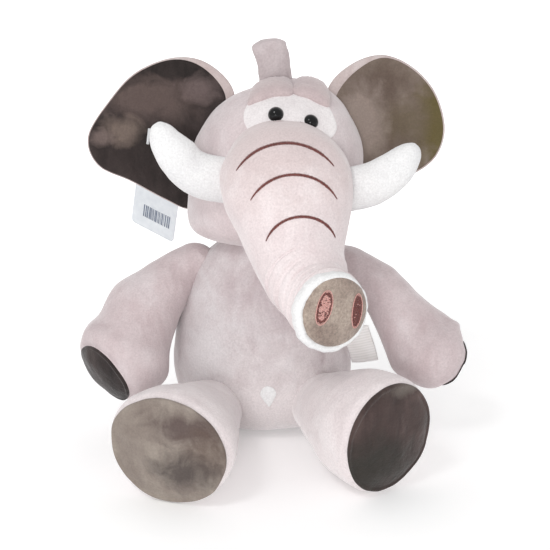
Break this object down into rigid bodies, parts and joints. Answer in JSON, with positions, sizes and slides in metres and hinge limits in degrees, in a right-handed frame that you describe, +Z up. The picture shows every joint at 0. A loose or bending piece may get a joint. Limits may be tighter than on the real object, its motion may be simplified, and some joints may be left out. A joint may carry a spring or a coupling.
{
  "type": "stuffed elephant",
  "caption": "Seated stuffed elephant with a big trunk, curved tusks, rounded ears and sprung soft limbs.",
  "frame": {"origin": "on the resting face, under the middle of the seat", "axes": "+Z up, face towards -Y, the elephant's own left towards +X"},
  "size_m": [0.2429, 0.2264, 0.2514],
  "materials": {
    "grey_plush": "short nap velour, pinkish grey",
    "pale_plush": "short nap velour, paler pinkish grey",
    "dark_plush": "short nap velour, mottled dark brown",
    "brown_plush": "short nap velour, grey brown with dark patches",
    "white_plush": "short nap velour, white",
    "fibre_fill": "loose polyester fibre",
    "pellet_pouch": "woven pouch of plastic pellets",
    "red_thread": "satin stitch embroidery, dark red brown",
    "neck_thread": "polyester sewing thread",
    "eye_plastic": "polished black plastic",
    "washer_plastic": "moulded plastic",
    "satin_label": "white satin ribbon",
    "tag_card": "coated paper card",
    "pin_nylon": "clear moulded nylon"
  },
  "bodies": {
    "torso": {"torso_skin": "grey_plush", "torso_filling": "fibre_fill", "seat_pouch": "pellet_pouch", "belly_button": "white_plush", "care_label": "satin_label"},
    "neck": {"neck_thread": "neck_thread"},
    "head": {"head_skin": "grey_plush", "head_filling": "fibre_fill", "eye_band": "white_plush", "brow_left": "grey_plush", "brow_right": "grey_plush", "eye_left": "eye_plastic", "eye_right": "eye_plastic", "eye_washer_left": "washer_plastic", "eye_washer_right": "washer_plastic", "tusk_left_skin": "white_plush", "tusk_left_filling": "fibre_fill", "tusk_right_skin": "white_plush", "tusk_right_filling": "fibre_fill", "trunk_skin": "pale_plush", "trunk_filling": "fibre_fill", "wrinkle_upper": "red_thread", "wrinkle_middle": "red_thread", "wrinkle_lower": "red_thread"},
    "trunk_tip": {"trunk_tip_skin": "pale_plush", "trunk_tip_filling": "fibre_fill", "trunk_band": "white_plush", "trunk_disc": "brown_plush", "nostril_left": "red_thread", "nostril_right": "red_thread"},
    "ear_left": {"ear_left_front": "dark_plush", "ear_left_back": "grey_plush", "ear_left_wadding": "fibre_fill"},
    "ear_right": {"ear_right_front": "dark_plush", "ear_right_back": "grey_plush", "ear_right_wadding": "fibre_fill", "tag_pin": "pin_nylon"},
    "tag": {"swing_tag": "tag_card"},
    "tuft": {"tuft_skin": "grey_plush", "tuft_filling": "fibre_fill"},
    "arm_left": {"arm_left_skin": "grey_plush", "arm_left_filling": "fibre_fill", "hand_pad_left": "dark_plush"},
    "arm_right": {"arm_right_skin": "grey_plush", "arm_right_filling": "fibre_fill", "hand_pad_right": "dark_plush"},
    "leg_left": {"leg_left_skin": "grey_plush", "leg_left_filling": "fibre_fill", "sole_left": "dark_plush"},
    "leg_right": {"leg_right_skin": "grey_plush", "leg_right_filling": "fibre_fill", "sole_right": "brown_plush"},
    "tail": {"tail_skin": "grey_plush", "tail_filling": "fibre_fill", "tail_tip": "dark_plush"}
  },
  "joints": [
    {"name": "head_turn", "type": "hinge", "parent": "torso", "child": "neck", "pos_m": [0.002, 0.002, 0.132], "axis": [0, 0, 1], "range_deg": [-20, 20], "stiffness_Nm_per_rad": 1.5},
    {"name": "head_nod", "type": "hinge", "parent": "neck", "child": "head", "pos_m": [0.002, 0.002, 0.132], "axis": [1, 0, 0], "range_deg": [-8, 8], "stiffness_Nm_per_rad": 2},
    {"name": "trunk_curl", "type": "hinge", "parent": "head", "child": "trunk_tip", "pos_m": [0.025, -0.093, 0.118], "axis": [-0.9292, -0.3697, 0], "range_deg": [-15, 13], "stiffness_Nm_per_rad": 0.15},
    {"name": "ear_left_flap", "type": "hinge", "parent": "head", "child": "ear_left", "pos_m": [0.057, 0.013, 0.185], "axis": [0.2095, 0, -0.9778], "range_deg": [-15, 22], "stiffness_Nm_per_rad": 0.05},
    {"name": "ear_right_flap", "type": "hinge", "parent": "head", "child": "ear_right", "pos_m": [-0.0445, 0.013, 0.18], "axis": [0.2095, 0, 0.9778], "range_deg": [-15, 22], "stiffness_Nm_per_rad": 0.05},
    {"name": "tag_swing", "type": "hinge", "parent": "ear_right", "child": "tag", "pos_m": [-0.076, 0.036, 0.1555], "axis": [0, 1, 0], "range_deg": [-10, 5]},
    {"name": "tuft_flop", "type": "hinge", "parent": "head", "child": "tuft", "pos_m": [0.005, 0.005, 0.228], "axis": [1, 0, 0], "range_deg": [-25, 25], "stiffness_Nm_per_rad": 0.01},
    {"name": "arm_left_lift", "type": "hinge", "parent": "torso", "child": "arm_left", "pos_m": [0.043, -0.001, 0.107], "axis": [-0.5, -0.866, 0], "range_deg": [-5, 30], "stiffness_Nm_per_rad": 0.3},
    {"name": "arm_right_lift", "type": "hinge", "parent": "torso", "child": "arm_right", "pos_m": [-0.05, -0.001, 0.107], "axis": [-0.5736, 0.8191, 0], "range_deg": [-5, 30], "stiffness_Nm_per_rad": 0.3},
    {"name": "leg_left_lift", "type": "hinge", "parent": "torso", "child": "leg_left", "pos_m": [0.028, -0.026, 0.024], "axis": [-0.9336, -0.3584, 0], "range_deg": [-4, 5], "stiffness_Nm_per_rad": 0.8},
    {"name": "leg_right_lift", "type": "hinge", "parent": "torso", "child": "leg_right", "pos_m": [-0.034, -0.028, 0.022], "axis": [-0.9744, 0.225, 0], "range_deg": [-4, 5], "stiffness_Nm_per_rad": 0.8},
    {"name": "tail_swing", "type": "hinge", "parent": "torso", "child": "tail", "pos_m": [-0.003, 0.045, 0.032], "axis": [1, 0, 0], "range_deg": [-15, 30], "stiffness_Nm_per_rad": 0.02}
  ]
}
